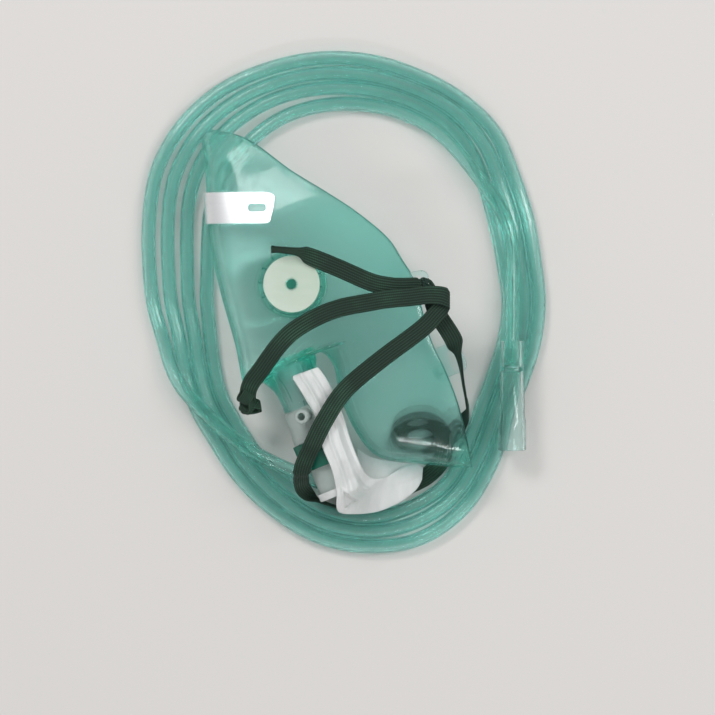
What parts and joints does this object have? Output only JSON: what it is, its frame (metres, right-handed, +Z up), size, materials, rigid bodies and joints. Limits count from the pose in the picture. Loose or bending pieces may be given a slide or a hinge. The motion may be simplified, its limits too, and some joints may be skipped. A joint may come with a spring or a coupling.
{
  "type": "oxygen face mask",
  "caption": "Soft oxygen mask with a folded reservoir bag, a knotted elastic head strap, and a long supply tube coiled round it.",
  "frame": {"origin": "middle of the box round the mask, bag and strap, on the surface it lies on", "axes": "+Y from the chin to the bridge of the nose, +Z up from the surface it lies on, +X towards the side with the strap's fold"},
  "size_m": [0.1687, 0.2064, 0.0452],
  "materials": {
    "mask_shell": "soft translucent green vinyl",
    "nose_clip": "matt rolled strip",
    "exhale_valve_near": "frosted silicone flap",
    "exhale_valve_far": "frosted silicone flap",
    "valve_housing": "pale translucent moulding",
    "housing_collar": "dark green moulding",
    "inlet_valve": "frosted silicone flap",
    "reservoir_bag": "frosted film",
    "head_strap": "ribbed elastic braid",
    "oxygen_tube_coil": "clear green tube",
    "oxygen_tube_start": "clear green tube",
    "oxygen_tube_tail": "clear green tube",
    "source_connector": "clear green soft vinyl",
    "mask_connector": "clear green soft vinyl"
  },
  "bodies": {
    "root": {"mask_shell": "mask_shell", "nose_clip": "nose_clip", "exhale_valve_near": "exhale_valve_near", "exhale_valve_far": "exhale_valve_far", "valve_housing": "valve_housing", "housing_collar": "housing_collar", "inlet_valve": "inlet_valve", "reservoir_bag": "reservoir_bag", "head_strap": "head_strap", "oxygen_tube_coil": "oxygen_tube_coil", "oxygen_tube_start": "oxygen_tube_start", "oxygen_tube_tail": "oxygen_tube_tail", "source_connector": "source_connector", "mask_connector": "mask_connector"}
  },
  "joints": []
}
